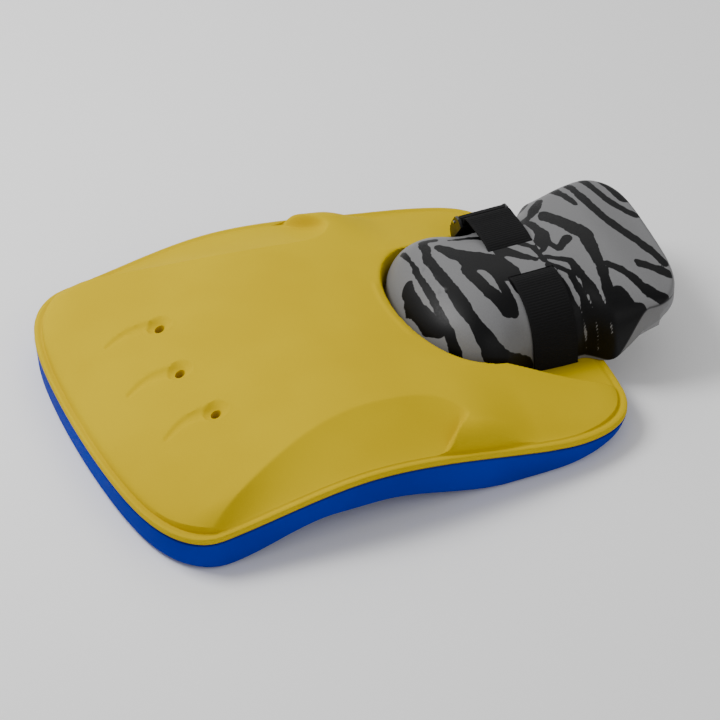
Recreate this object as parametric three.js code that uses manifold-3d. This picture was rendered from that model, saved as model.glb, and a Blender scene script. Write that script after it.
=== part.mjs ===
// Kneeboard: an arched foam board with a moulded limb hood, held down by a webbing strap and a cam buckle.
// Millimetres, +X to the rear, +Y to the far side, +Z up.
import * as THREE from "three";
import { mergeVertices } from "three/addons/utils/BufferGeometryUtils.js";
import Module from "manifold-3d";

const wasm = await Module();
wasm.setup();

// ---- Driving dimensions -------------------------------------------------
const GAP = 0.3; // clearance between touching pieces

const BOARD_LENGTH = 540;
const HALF_WIDTH = 216;
const FRONT_BOW = 20; // how far the front edge bows out at its middle
const FRONT_CORNER = 50; // length of the front corner rounding
const FRONT_SHARPNESS = 6;
const REAR_BOW = 8;
const REAR_CORNER = 110;
const REAR_SHARPNESS = 10;

// Height of the joint line between deck and hull, along the board
const SEAM_FRONT = 33;
const SEAM_CREST = 58.5;
const SEAM_REAR = 22;
const SEAM_RISE_START = 30;
const SEAM_CREST_X = 232;
const SEAM_FALL_END = 510;

// Underside: flat at both ends and arched between
const ARCH_HEIGHT = 25;
const ARCH_X = [70, 190, 235, 380];
const TAIL_KICK = 8;
const TAIL_KICK_X = [440, 540];
const HULL_EDGE_ROUND = 9;
const BOND_THICKNESS = 1.2;
const BOND_INSET = 1.2;

// Deck
const RIM_HEIGHT = 8;
const RIM_ROUND = 2;
const GROOVE_INSET = 6;
const GROOVE_DEPTH = 1.2;
const CROWN_INSET = 8;
const CROWN_FRONT = 15;
const CROWN_MIDDLE = 29;
const CROWN_REAR = 13;
const CROWN_X = [0, 130, 420, 540];
const CROWN_SIDE_FALL = 0.3;
const HAUNCH_X = [350, 420]; // where the deck's shoulders start and finish sloping off to the rim
const HAUNCH_Y = [105, 205];
const EDGE_ROUND = { side: 22, front: 45, rear: 26 };

// Grip scoops along the sides
const SCOOP_X = [60, 356];
const SCOOP_WIDEST = 0.72; // where it is widest, as a fraction of its length
const SCOOP_INNER = 139; // half-width left at the widest place
const SCOOP_OUTER = 208;
const SCOOP_HOLLOW = 1.25;
const SCOOP_END_X = 349; // its rear end, which runs forward towards the rim
const SCOOP_END_PULL = 34;
const SCOOP_END_Y = [168, 212];
const SCOOP_END_BLEND = [-5, 7];

// Vent holes
const HOLE_RADIUS = 5;
const DISH_RADIUS = 11.5;
const DISH_DEPTH = 4.5;
const HOLE_PLACES = [
  [121, 75],
  [113, 0],
  [121, -75],
];

// Limb well in the deck, open to the rear
const WELL_NOSE_X = 349.5;
const WELL_NOSE_LENGTH = 75.5;
const WELL_HALF_WIDTH = 107.5;
const WELL_REAR_HALF_WIDTH = 166;
const WELL_FLOOR_ABOVE_SEAM = 7;

// Hood
const HOOD_NOSE_X = 353;
const HOOD_SHOULDER_X = 425;
const HOOD_REAR_X = 640;
const HOOD_REAR_SLANT = 0.09; // how far the rear edge is cut at an angle
const HOOD_REAR_SLANT_X = [560, 640];
const HOOD_CORNER = 42;
const HOOD_CORNER_SHARPNESS = 3.6;
const HOOD_NOSE_HALF = 104;
const HOOD_NOSE_POWER = 2.2;
const HOOD_WAIST_HALF = 92;
const HOOD_FLAP_HALF = 113;
const HOOD_WAIST_X = [458, 517];
const HOOD_FLAP_X = 548;
const HOOD_CREST = 108.5;
const HOOD_REAR_CREST = 97;
const HOOD_CREST_X = [575, 640];
const HOOD_EDGE_LIFT = 51;
const HOOD_EDGE_LIFT_X = [530, 612];
const HOOD_SECTION_X = [503, 550]; // the arch of the waist flattens into the flap between these
const HOOD_SIDE_POWER = [0.7, 0.92];
const HOOD_CREST_POWER = [0.72, 0.45];
const SHELL_THICKNESS = 9;
const LINER_THICKNESS = 7;

// Strap, 50 mm webbing
const STRAP_WIDTH = 50;
const STRAP_THICKNESS = 2.2;
const STRAP_X = 487;
const STRAP_TUNNEL_Z = 103;
const STRAP_TUNNEL_HALF = 22;
const STRAP_SLOT_Y = 94.4;
const STRAP_CHANNEL_Z = 14;
const STRAP_CLEARANCE = 0.5;
const GUIDE_WALL = 1.5;
const GUIDE_SHORT_OF_SLOT = 9;

// Cam buckle, in its own frame: u down the strap, w outwards from it
const BUCKLE_Y = 86.5;
const BUCKLE_Z = 88;
const BUCKLE_PITCH = THREE.MathUtils.degToRad(55);
const CHEEK_INNER = 25.8;
const CHEEK_OUTER = 29;
const PIN_U = -5;
const PIN_W = 9;
const PIN_RADIUS = 1.5;
const PIN_HOLE_RADIUS = 1.8;
const PIN_END = 1.2; // how far the pin stands out of each cheek
const BAR_U = 17;
const BAR_W = -5.5;
const BAR_RADIUS = 1.6;
const SPRING_WIRE = 0.4;
const SPRING_RADIUS = 2.6;
const SPRING_TURNS = 5;
const SPRING_LENGTH = 8;

// ---- Materials ----------------------------------------------------------
function material(name, color, roughness, metalness = 0) {
  const result = new THREE.MeshStandardMaterial({ color, roughness, metalness });
  result.name = name;
  return result;
}

// ---- Solids -------------------------------------------------------------
function toSolid(geometry) {
  const bare = geometry.index ? geometry.toNonIndexed() : geometry.clone();
  bare.deleteAttribute("normal");
  bare.deleteAttribute("uv");
  const merged = mergeVertices(bare, 1e-4);
  const mesh = new wasm.Mesh({
    numProp: 3,
    vertProperties: new Float32Array(merged.attributes.position.array),
    triVerts: new Uint32Array(merged.index.array),
  });
  return new wasm.Manifold(mesh);
}

function toGeometry(solid) {
  const mesh = solid.getMesh();
  const geometry = new THREE.BufferGeometry();
  geometry.setAttribute("position", new THREE.BufferAttribute(new Float32Array(mesh.vertProperties), 3));
  geometry.setIndex(new THREE.BufferAttribute(new Uint32Array(mesh.triVerts), 1));
  geometry.computeVertexNormals();
  return geometry;
}

function extrude(points, depth, bevel = {}) {
  const shape = new THREE.Shape(points.map(([a, b]) => new THREE.Vector2(a, b)));
  return new THREE.ExtrudeGeometry(shape, { depth, bevelEnabled: false, curveSegments: 1, ...bevel });
}

// Points are (y, z) pairs, and the solid runs from x0 to x1
function extrudeAlongX(points, x0, x1) {
  const geometry = extrude(points, x1 - x0);
  const basis = new THREE.Matrix4().makeBasis(
    new THREE.Vector3(0, 1, 0),
    new THREE.Vector3(0, 0, 1),
    new THREE.Vector3(1, 0, 0),
  );
  geometry.applyMatrix4(basis.setPosition(x0, 0, 0));
  return toSolid(geometry);
}

// Points are (x, z) pairs, and the solid runs across the whole board
function extrudeAcross(points, halfWidth = HALF_WIDTH + 20) {
  const geometry = extrude(points, 2 * halfWidth);
  geometry.rotateX(Math.PI / 2);
  geometry.translate(0, halfWidth, 0);
  return toSolid(geometry);
}

// Points are (x, y) pairs, and the solid runs from z0 to z1
function extrudeUp(points, z0, z1, bevel = {}) {
  const geometry = extrude(points, z1 - z0, bevel);
  geometry.translate(0, 0, z0);
  return toSolid(geometry);
}

function cylinderUp(x, y, radiusTop, radiusBottom, z0, z1, sides = 24) {
  const geometry = new THREE.CylinderGeometry(radiusTop, radiusBottom, z1 - z0, sides);
  geometry.rotateX(Math.PI / 2);
  geometry.translate(x, y, (z0 + z1) / 2);
  return toSolid(geometry);
}

function cylinderAlongX(y, z, radius, x0, x1, sides = 20) {
  const geometry = new THREE.CylinderGeometry(radius, radius, x1 - x0, sides);
  geometry.rotateZ(Math.PI / 2);
  geometry.translate((x0 + x1) / 2, y, z);
  return toSolid(geometry);
}

function box(x0, x1, y0, y1, z0, z1) {
  const geometry = new THREE.BoxGeometry(x1 - x0, y1 - y0, z1 - z0);
  geometry.translate((x0 + x1) / 2, (y0 + y1) / 2, (z0 + z1) / 2);
  return toSolid(geometry);
}

// ---- Shape of the board -------------------------------------------------
const { clamp, lerp, smoothstep } = THREE.MathUtils;

function frontEdge(y) {
  const s = Math.min(Math.abs(y) / HALF_WIDTH, 1);
  return FRONT_BOW * s ** 2 + FRONT_CORNER * (1 - Math.sqrt(1 - s ** FRONT_SHARPNESS));
}

function rearEdge(y) {
  const s = Math.min(Math.abs(y) / HALF_WIDTH, 1);
  return BOARD_LENGTH - REAR_BOW * s ** 2 - REAR_CORNER * (1 - Math.sqrt(1 - s ** REAR_SHARPNESS));
}

function seamHeight(x) {
  if (x < SEAM_CREST_X) {
    return lerp(SEAM_FRONT, SEAM_CREST, smoothstep(x, SEAM_RISE_START, SEAM_CREST_X));
  }
  return lerp(SEAM_CREST, SEAM_REAR, smoothstep(x, SEAM_CREST_X, SEAM_FALL_END));
}

function bottomHeight(x) {
  const arch = smoothstep(x, ARCH_X[0], ARCH_X[1]) * (1 - smoothstep(x, ARCH_X[2], ARCH_X[3]));
  return ARCH_HEIGHT * arch + TAIL_KICK * smoothstep(x, TAIL_KICK_X[0], TAIL_KICK_X[1]);
}

function wellFloor(x) {
  return seamHeight(x) + WELL_FLOOR_ABOVE_SEAM;
}

function rounding(distance, reach) {
  const t = clamp(distance / reach, 0, 1);
  return Math.sqrt(1 - (1 - t) ** 2);
}

function crownHeight(x) {
  const front = lerp(CROWN_FRONT, CROWN_MIDDLE, smoothstep(x, CROWN_X[0], CROWN_X[1]));
  return lerp(front, CROWN_REAR, smoothstep(x, CROWN_X[2], CROWN_X[3]));
}

function plainDeckHeight(x, y) {
  const side = rounding(HALF_WIDTH - CROWN_INSET - Math.abs(y), EDGE_ROUND.side);
  const front = rounding(x - CROWN_INSET - frontEdge(y), EDGE_ROUND.front);
  const rear = rounding(rearEdge(y) - CROWN_INSET - x, EDGE_ROUND.rear);
  const slope = 1 - clamp((Math.abs(y) - HAUNCH_Y[0]) / (HAUNCH_Y[1] - HAUNCH_Y[0]), 0, 1);
  const crowned = 1 - CROWN_SIDE_FALL * (y / HALF_WIDTH) ** 2;
  const fall = lerp(crowned, slope, smoothstep(x, HAUNCH_X[0], HAUNCH_X[1]));
  return seamHeight(x) + RIM_HEIGHT + crownHeight(x) * fall * side * front * rear;
}

// Half-width at which the scoop's upper edge runs
function scoopEdge(x) {
  const t = (x - SCOOP_X[0]) / (SCOOP_X[1] - SCOOP_X[0]);
  if (t <= 0 || t >= 1) return SCOOP_OUTER;
  const rise = Math.sin((Math.PI / 2) * Math.min(t / SCOOP_WIDEST, 1));
  const fall = Math.sqrt(1 - (Math.max(t - SCOOP_WIDEST, 0) / (1 - SCOOP_WIDEST)) ** 4);
  return lerp(SCOOP_OUTER, SCOOP_INNER, rise * fall);
}

function deckHeight(x, y) {
  const plain = plainDeckHeight(x, y);
  const edge = scoopEdge(x);
  const side = Math.abs(y);
  if (side <= edge || edge >= SCOOP_OUTER) return plain;
  const rim = seamHeight(x) + RIM_HEIGHT;
  const reach = clamp((side - edge) / (SCOOP_OUTER - edge), 0, 1);
  const scoop = rim + (plainDeckHeight(x, edge) - rim) * (1 - reach) ** SCOOP_HOLLOW;
  const end = SCOOP_END_X - SCOOP_END_PULL * smoothstep(side, SCOOP_END_Y[0], SCOOP_END_Y[1]);
  return lerp(plain, Math.min(plain, scoop), smoothstep(end - x, SCOOP_END_BLEND[0], SCOOP_END_BLEND[1]));
}

// A point of the plan outline pulled in by inset; u runs front to rear and v from side to side
function planPoint(u, v, inset) {
  const y = v * HALF_WIDTH;
  return [lerp(frontEdge(y) + inset, rearEdge(y) - inset, u), v * (HALF_WIDTH - inset)];
}

function gridLines(count, crowding) {
  return Array.from({ length: count + 1 }, (_, i) => {
    const t = i / count;
    return lerp(t, (1 - Math.cos(Math.PI * t)) / 2, crowding);
  });
}

function outlineIndices(nu, nv) {
  const front = Array.from({ length: nv }, (_, j) => [0, j]);
  const far = Array.from({ length: nu }, (_, i) => [i, nv]);
  const rear = Array.from({ length: nv }, (_, j) => [nu, nv - j]);
  const near = Array.from({ length: nu }, (_, i) => [nu - i, 0]);
  return [...front, ...far, ...rear, ...near];
}

function boardOutline(inset) {
  const nu = 14;
  const nv = 34;
  const us = gridLines(nu, 0.6);
  const vs = gridLines(nv, 0.9).map((t) => 2 * t - 1);
  return outlineIndices(nu, nv)
    .map(([i, j]) => planPoint(us[i], vs[j], inset))
    .reverse();
}

// Closed block whose top follows the deck and whose sides drop straight to the ground
function deckBlock() {
  const nu = 34;
  const nv = 30;
  const us = gridLines(nu, 0.5);
  const vs = gridLines(nv, 0.85).map((t) => 2 * t - 1);
  const positions = [];
  const triangles = [];
  const add = (x, y, z) => positions.push(x, y, z) / 3 - 1;
  const quad = (a, b, c, d) => triangles.push(a, b, c, a, c, d);
  const crown = us.map((u) =>
    vs.map((v) => {
      const [x, y] = planPoint(u, v, CROWN_INSET);
      return add(x, y, deckHeight(x, y));
    }),
  );
  for (let i = 0; i < nu; i += 1) {
    for (let j = 0; j < nv; j += 1) {
      quad(crown[i][j], crown[i + 1][j], crown[i + 1][j + 1], crown[i][j + 1]);
    }
  }
  const rim = outlineIndices(nu, nv);
  const ring = (inset, height) =>
    rim.map(([i, j]) => {
      const [x, y] = planPoint(us[i], vs[j], inset);
      return add(x, y, height(x));
    });
  const rings = [
    rim.map(([i, j]) => crown[i][j]),
    ring(GROOVE_INSET, (x) => seamHeight(x) + RIM_HEIGHT - GROOVE_DEPTH),
    ring(RIM_ROUND, (x) => seamHeight(x) + RIM_HEIGHT),
    ring(0, (x) => seamHeight(x) + RIM_HEIGHT - RIM_ROUND),
    ring(0, () => 0),
  ];
  for (let k = 0; k + 1 < rings.length; k += 1) {
    for (let i = 0; i < rim.length; i += 1) {
      const next = (i + 1) % rim.length;
      quad(rings[k][i], rings[k][next], rings[k + 1][next], rings[k + 1][i]);
    }
  }
  const last = rings[rings.length - 1];
  const flat = last.map((v) => new THREE.Vector2(positions[3 * v], positions[3 * v + 1]));
  for (const [a, b, c] of THREE.ShapeUtils.triangulateShape(flat, [])) {
    triangles.push(last[a], last[c], last[b]);
  }
  const geometry = new THREE.BufferGeometry();
  geometry.setAttribute("position", new THREE.Float32BufferAttribute(positions, 3));
  geometry.setIndex(triangles);
  return toSolid(geometry);
}

// Slab between two heights that vary along the board only
function layer(lower, upper) {
  const count = 44;
  const xs = Array.from({ length: count + 1 }, (_, i) => -12 + ((BOARD_LENGTH + 24) * i) / count);
  const below = xs.map((x) => [x, lower(x)]);
  const above = xs.map((x) => [x, upper(x)]).reverse();
  return extrudeAcross([...below, ...above]);
}

function wellOutline() {
  const nose = Array.from({ length: 25 }, (_, i) => {
    const angle = Math.PI / 2 + (Math.PI * i) / 24;
    const reach = Math.abs(Math.cos(angle)) ** (2 / HOOD_NOSE_POWER);
    return [WELL_NOSE_X + WELL_NOSE_LENGTH * (1 - reach), WELL_HALF_WIDTH * Math.sin(angle)];
  });
  const past = BOARD_LENGTH + 30;
  return [...nose, [past, -WELL_REAR_HALF_WIDTH], [past, WELL_REAR_HALF_WIDTH]];
}

function strapSlots(z0, z1) {
  const half = STRAP_WIDTH / 2 + STRAP_CLEARANCE;
  const thick = STRAP_THICKNESS / 2 + STRAP_CLEARANCE;
  return [-STRAP_SLOT_Y, STRAP_SLOT_Y].map((y) => {
    return box(STRAP_X - half, STRAP_X + half, y - thick, y + thick, z0, z1);
  });
}

function ventHoles() {
  return HOLE_PLACES.map(([x, y]) => cylinderUp(x, y, HOLE_RADIUS, HOLE_RADIUS, -10, 120));
}

function makeDeck() {
  let deck = deckBlock().intersect(layer((x) => seamHeight(x) + BOND_THICKNESS / 2 + GAP, () => 200));
  deck = deck.subtract(extrudeUp(wellOutline(), 0, 200).intersect(layer(wellFloor, () => 190)));
  for (const [x, y] of HOLE_PLACES) {
    const top = deckHeight(x, y);
    deck = deck.subtract(cylinderUp(x, y, DISH_RADIUS + 5, HOLE_RADIUS + 0.5, top - DISH_DEPTH, top + 6));
  }
  for (const hole of [...ventHoles(), ...strapSlots(10, 60)]) deck = deck.subtract(hole);
  return deck;
}

function makeBondFilm() {
  const half = BOND_THICKNESS / 2;
  let film = extrudeUp(boardOutline(BOND_INSET), -10, 200);
  film = film.intersect(layer((x) => seamHeight(x) - half, (x) => seamHeight(x) + half));
  for (const hole of [...ventHoles(), ...strapSlots(10, 60)]) film = film.subtract(hole);
  return film;
}

function makeHull() {
  const rounded = {
    bevelEnabled: true,
    bevelThickness: HULL_EDGE_ROUND,
    bevelSize: HULL_EDGE_ROUND,
    bevelOffset: -HULL_EDGE_ROUND,
    bevelSegments: 4,
  };
  let hull = extrudeUp(boardOutline(0.4), HULL_EDGE_ROUND, 200, rounded);
  hull = hull.intersect(layer(bottomHeight, (x) => seamHeight(x) - BOND_THICKNESS / 2 - GAP));
  for (const hole of ventHoles()) hull = hull.subtract(hole);
  return hull.subtract(channelSpace());
}

// ---- Strap channel under the well --------------------------------------
function guideSize() {
  return {
    halfX: STRAP_WIDTH / 2 + STRAP_CLEARANCE + GUIDE_WALL,
    halfY: STRAP_SLOT_Y - GUIDE_SHORT_OF_SLOT,
    halfZ: STRAP_THICKNESS / 2 + STRAP_CLEARANCE + GUIDE_WALL,
  };
}

function channelSpace() {
  const { halfX, halfZ } = guideSize();
  const endY = STRAP_SLOT_Y + STRAP_THICKNESS / 2 + STRAP_CLEARANCE;
  const x = halfX + GAP;
  return box(STRAP_X - x, STRAP_X + x, -endY, endY, STRAP_CHANNEL_Z - halfZ - GAP, 60);
}

function makeStrapGuide() {
  const { halfX, halfY, halfZ } = guideSize();
  const sleeve = (x, y, z) => box(STRAP_X - x, STRAP_X + x, -y, y, STRAP_CHANNEL_Z - z, STRAP_CHANNEL_Z + z);
  const bore = sleeve(halfX - GUIDE_WALL, halfY + 1, halfZ - GUIDE_WALL);
  return sleeve(halfX, halfY, halfZ).subtract(bore);
}

// ---- Ribbons ------------------------------------------------------------
function curveThrough(points, samples) {
  const knots = points.map(([y, z]) => new THREE.Vector3(y, z, 0));
  const curve = new THREE.CatmullRomCurve3(knots, false, "centripetal");
  return curve.getSpacedPoints(samples).map((p) => [p.x, p.y]);
}

// Outline of a band of even thickness about a centre line in the (y, z) plane
function bandOutline(line, thickness) {
  const sides = [1, -1].map((side) =>
    line.map(([y, z], i) => {
      const [ya, za] = line[Math.max(i - 1, 0)];
      const [yb, zb] = line[Math.min(i + 1, line.length - 1)];
      const size = Math.hypot(yb - ya, zb - za);
      const shift = (side * thickness) / 2 / size;
      return [y - (zb - za) * shift, z + (yb - ya) * shift];
    }),
  );
  return [...sides[0], ...sides[1].reverse()];
}

function ribbon(line, thickness = STRAP_THICKNESS, halfWidth = STRAP_WIDTH / 2) {
  return extrudeAlongX(bandOutline(line, thickness), STRAP_X - halfWidth, STRAP_X + halfWidth);
}

function makeStrapTunnel() {
  const top = wellFloor(STRAP_X) - 0.4;
  const bend = 5;
  const turn = (side) => [
    [side * STRAP_SLOT_Y, top],
    [side * STRAP_SLOT_Y, STRAP_CHANNEL_Z + bend],
    [side * (STRAP_SLOT_Y - bend * 0.3), STRAP_CHANNEL_Z + bend * 0.3],
    [side * (STRAP_SLOT_Y - bend), STRAP_CHANNEL_Z],
  ];
  return ribbon([...turn(-1), ...turn(1).reverse()]);
}

// ---- Hood ---------------------------------------------------------------
function hoodEdge(x) {
  return wellFloor(x) + 0.5 + HOOD_EDGE_LIFT * smoothstep(x, HOOD_EDGE_LIFT_X[0], HOOD_EDGE_LIFT_X[1]);
}

function hoodHalfWidth(x) {
  const waist = lerp(HOOD_NOSE_HALF, HOOD_WAIST_HALF, smoothstep(x, HOOD_SHOULDER_X, HOOD_WAIST_X[0]));
  return lerp(waist, HOOD_FLAP_HALF, smoothstep(x, HOOD_WAIST_X[1], HOOD_FLAP_X));
}

function hoodCrest(x) {
  return lerp(HOOD_CREST, HOOD_REAR_CREST, smoothstep(x, HOOD_CREST_X[0], HOOD_CREST_X[1]));
}

// Side and height of a point on the arch at x, for a half-width and a rise
function hoodArch(x, angle, half, rise) {
  const flat = smoothstep(x, HOOD_SECTION_X[0], HOOD_SECTION_X[1]);
  const sine = Math.sin(angle);
  const side = Math.abs(sine) ** lerp(HOOD_SIDE_POWER[0], HOOD_SIDE_POWER[1], flat);
  const height = Math.cos(angle) ** lerp(HOOD_CREST_POWER[0], HOOD_CREST_POWER[1], flat);
  return [half * Math.sign(sine) * side, rise * height];
}

// Point of a hood surface lying inset inside the outer one; t runs nose to rear, angle side to side
function hoodPoint(t, angle, inset) {
  const sharp = Math.abs(Math.sin(angle)) ** HOOD_CORNER_SHARPNESS;
  const corner = HOOD_CORNER * (1 - Math.sqrt(1 - sharp * 0.999));
  const nose = HOOD_NOSE_X + inset;
  const x = lerp(nose, HOOD_REAR_X - corner, t ** 1.6);
  const reach = clamp((HOOD_SHOULDER_X - x) / (HOOD_SHOULDER_X - nose), 0, 1);
  const swell = Math.sqrt(1 - reach ** HOOD_NOSE_POWER);
  const lift = smoothstep(x, HOOD_EDGE_LIFT_X[0], HOOD_EDGE_LIFT_X[1]);
  const edge = hoodEdge(x) - inset * lift;
  const half = (hoodHalfWidth(x) - inset * (1 - lift)) * swell;
  const [y, rise] = hoodArch(x, angle, half, (hoodCrest(x) - inset - edge) * swell);
  const slant = HOOD_REAR_SLANT * y * smoothstep(x, HOOD_REAR_SLANT_X[0], HOOD_REAR_SLANT_X[1]);
  return [x + slant, y, edge + rise];
}

function hoodShell(outerInset, thickness) {
  const nt = 22;
  const na = 18;
  const positions = [];
  const triangles = [];
  const add = (p) => positions.push(...p) / 3 - 1;
  const quad = (a, b, c, d) => triangles.push(a, b, c, a, c, d);
  const surface = (inset) => {
    const pole = add(hoodPoint(0, 0, inset));
    return Array.from({ length: nt + 1 }, (_, i) =>
      Array.from({ length: na + 1 }, (__, j) => {
        if (i === 0) return pole;
        const angle = Math.PI * (j / na - 0.5);
        const steady = clamp(angle, -Math.PI / 2 + 1e-4, Math.PI / 2 - 1e-4);
        return add(hoodPoint(i / nt, steady, inset));
      }),
    );
  };
  const outer = surface(outerInset);
  const inner = surface(outerInset + thickness);
  for (let i = 0; i < nt; i += 1) {
    for (let j = 0; j < na; j += 1) {
      quad(outer[i][j], outer[i + 1][j], outer[i + 1][j + 1], outer[i][j + 1]);
      quad(inner[i][j], inner[i][j + 1], inner[i + 1][j + 1], inner[i + 1][j]);
    }
    quad(outer[i][0], inner[i][0], inner[i + 1][0], outer[i + 1][0]);
    quad(outer[i][na], outer[i + 1][na], inner[i + 1][na], inner[i][na]);
  }
  for (let j = 0; j < na; j += 1) {
    quad(outer[nt][j], inner[nt][j], inner[nt][j + 1], outer[nt][j + 1]);
  }
  // The nose is one shared point, which leaves empty triangles to drop
  const whole = triangles.filter((_, k) => {
    const [a, b, c] = triangles.slice(k - (k % 3), k - (k % 3) + 3);
    return a !== b && b !== c && c !== a;
  });
  const geometry = new THREE.BufferGeometry();
  geometry.setAttribute("position", new THREE.Float32BufferAttribute(positions, 3));
  geometry.setIndex(whole);
  return toSolid(geometry);
}

// Room for the strap over the waist of the hood
function strapRoom() {
  return ribbon(longStrapLine(), STRAP_THICKNESS + 2 * STRAP_CLEARANCE, STRAP_WIDTH / 2 + STRAP_CLEARANCE);
}

function makeHoodShell() {
  return hoodShell(0, SHELL_THICKNESS).subtract(strapRoom());
}

function makeHoodLiner() {
  return hoodShell(SHELL_THICKNESS + GAP, LINER_THICKNESS);
}

// ---- Strap over the hood ------------------------------------------------
function buckleToWorld(u, w) {
  const sine = Math.sin(BUCKLE_PITCH);
  const cosine = Math.cos(BUCKLE_PITCH);
  return [BUCKLE_Y + u * cosine + w * sine, BUCKLE_Z - u * sine + w * cosine];
}

// Centre line from the near slot up the near wall, under the bridge, over the far side and through the buckle
function longStrapLine() {
  const lift = STRAP_THICKNESS / 2 + 0.8;
  const edge = hoodEdge(STRAP_X);
  const wall = [1.46, 1.36, 1.22, 1.05, 0.85, 0.65, 0.46, 0.3].map((angle) => {
    const [y, rise] = hoodArch(STRAP_X, -angle, HOOD_WAIST_HALF, HOOD_CREST - edge);
    return [y - lift * Math.sin(angle), edge + rise + lift * Math.cos(angle)];
  });
  const w = STRAP_THICKNESS / 2 + GAP;
  return curveThrough(
    [
      [-STRAP_SLOT_Y, wellFloor(STRAP_X) + 0.2],
      [-STRAP_SLOT_Y, wellFloor(STRAP_X) + 4],
      ...wall,
      [-STRAP_TUNNEL_HALF, STRAP_TUNNEL_Z + 0.6],
      [-STRAP_TUNNEL_HALF * 0.5, STRAP_TUNNEL_Z],
      [STRAP_TUNNEL_HALF * 0.3, STRAP_TUNNEL_Z],
      [STRAP_TUNNEL_HALF * 0.6, STRAP_TUNNEL_Z + 2.5],
      [STRAP_TUNNEL_HALF + 2, STRAP_TUNNEL_Z + 7],
      [STRAP_TUNNEL_HALF + 18, STRAP_TUNNEL_Z + 9],
      [STRAP_TUNNEL_HALF + 36, STRAP_TUNNEL_Z + 9],
      buckleToWorld(-26, w + 1.5),
      buckleToWorld(-14, w),
      buckleToWorld(0, w),
      buckleToWorld(22, w),
      [BUCKLE_Y + 18, BUCKLE_Z - 34],
      [BUCKLE_Y + 17, BUCKLE_Z - 48],
    ],
    56,
  );
}

function makeStrapLong() {
  return ribbon(longStrapLine());
}

// Short end: sewn loop round the buckle's bar, then down into the far slot
function makeStrapShort() {
  const [barY, barZ] = buckleToWorld(BAR_U, BAR_W);
  const inner = BAR_RADIUS + GAP + 0.2;
  const outer = inner + STRAP_THICKNESS;
  const x0 = STRAP_X - STRAP_WIDTH / 2;
  const x1 = STRAP_X + STRAP_WIDTH / 2;
  const floor = wellFloor(STRAP_X);
  const line = curveThrough(
    [
      [barY, barZ - inner - STRAP_THICKNESS / 2],
      [STRAP_SLOT_Y + 1.5, barZ - 15],
      [STRAP_SLOT_Y + 1, floor + 14],
      [STRAP_SLOT_Y, floor + 4],
      [STRAP_SLOT_Y, floor + 0.2],
    ],
    14,
  );
  const eye = cylinderAlongX(barY, barZ, inner, x0 - 1, x1 + 1);
  return ribbon(line).add(cylinderAlongX(barY, barZ, outer, x0, x1)).subtract(eye);
}

// ---- Buckle -------------------------------------------------------------
function buckleExtrusion(points, x0, x1) {
  return extrudeAlongX(points.map(([u, w]) => buckleToWorld(u, w)), STRAP_X + x0, STRAP_X + x1);
}

function buckleCylinder(u, w, radius, x0, x1, sides) {
  const [y, z] = buckleToWorld(u, w);
  return cylinderAlongX(y, z, radius, STRAP_X + x0, STRAP_X + x1, sides);
}

function makeBuckleFrame() {
  const cheek = [
    [-17, -2.5],
    [10, -2.5],
    [13, -8.5],
    [20.5, -8.5],
    [20.5, -2],
    [14, 8],
    [2, 12],
    [-12, 12.5],
    [-17, 7],
  ];
  const plate = [
    [-15, -2.5],
    [10, -2.5],
    [10, 0],
    [-15, 0],
  ];
  const bow = [
    [-17, 7.5],
    [-14.5, 7.5],
    [-14.5, 10.5],
    [-17, 10.5],
  ];
  let frame = buckleExtrusion(plate, -CHEEK_INNER - 0.5, CHEEK_INNER + 0.5);
  frame = frame.add(buckleExtrusion(bow, -CHEEK_INNER - 0.5, CHEEK_INNER + 0.5));
  frame = frame.add(buckleCylinder(BAR_U, BAR_W, BAR_RADIUS, -CHEEK_INNER - 0.5, CHEEK_INNER + 0.5, 14));
  for (const side of [-1, 1]) {
    const ends = [side * CHEEK_INNER, side * CHEEK_OUTER].sort((a, b) => a - b);
    frame = frame.add(buckleExtrusion(cheek, ends[0], ends[1]));
  }
  return frame.subtract(buckleCylinder(PIN_U, PIN_W, PIN_HOLE_RADIUS, -CHEEK_OUTER - 1, CHEEK_OUTER + 1));
}

function makeBuckleCam() {
  const half = CHEEK_INNER - 0.7;
  const profile = [
    [-9, 11.6],
    [-9.3, 8],
    [-8, 5],
    [-6, 3.3],
    [-4, 3.2],
    [-2.5, 4.4],
    [1, 7.2],
    [16, 9.2],
    [21, 12],
    [20.4, 14],
    [15, 12.4],
    [-6, 13.4],
  ];
  let cam = buckleExtrusion(profile, -half, half);
  cam = cam.subtract(buckleCylinder(PIN_U, PIN_W, PIN_HOLE_RADIUS, -half - 1, half + 1));
  const room = SPRING_LENGTH / 2 + 1;
  return cam.subtract(buckleCylinder(PIN_U, PIN_W, SPRING_RADIUS + 0.8, -room, room));
}

function makeBucklePin() {
  return buckleCylinder(PIN_U, PIN_W, PIN_RADIUS, -CHEEK_OUTER - PIN_END, CHEEK_OUTER + PIN_END);
}

function makeBuckleSpring() {
  const [y, z] = buckleToWorld(PIN_U, PIN_W);
  const points = Array.from({ length: SPRING_TURNS * 10 + 1 }, (_, i) => {
    const angle = (2 * Math.PI * i) / 10;
    const x = STRAP_X - SPRING_LENGTH / 2 + (SPRING_LENGTH * i) / (SPRING_TURNS * 10);
    return new THREE.Vector3(x, y + SPRING_RADIUS * Math.cos(angle), z + SPRING_RADIUS * Math.sin(angle));
  });
  const section = new THREE.Shape();
  section.absarc(0, 0, SPRING_WIRE, 0, 2 * Math.PI);
  const geometry = new THREE.ExtrudeGeometry(section, {
    curveSegments: 2,
    steps: SPRING_TURNS * 10,
    extrudePath: new THREE.CatmullRomCurve3(points),
  });
  return toSolid(geometry);
}

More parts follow.
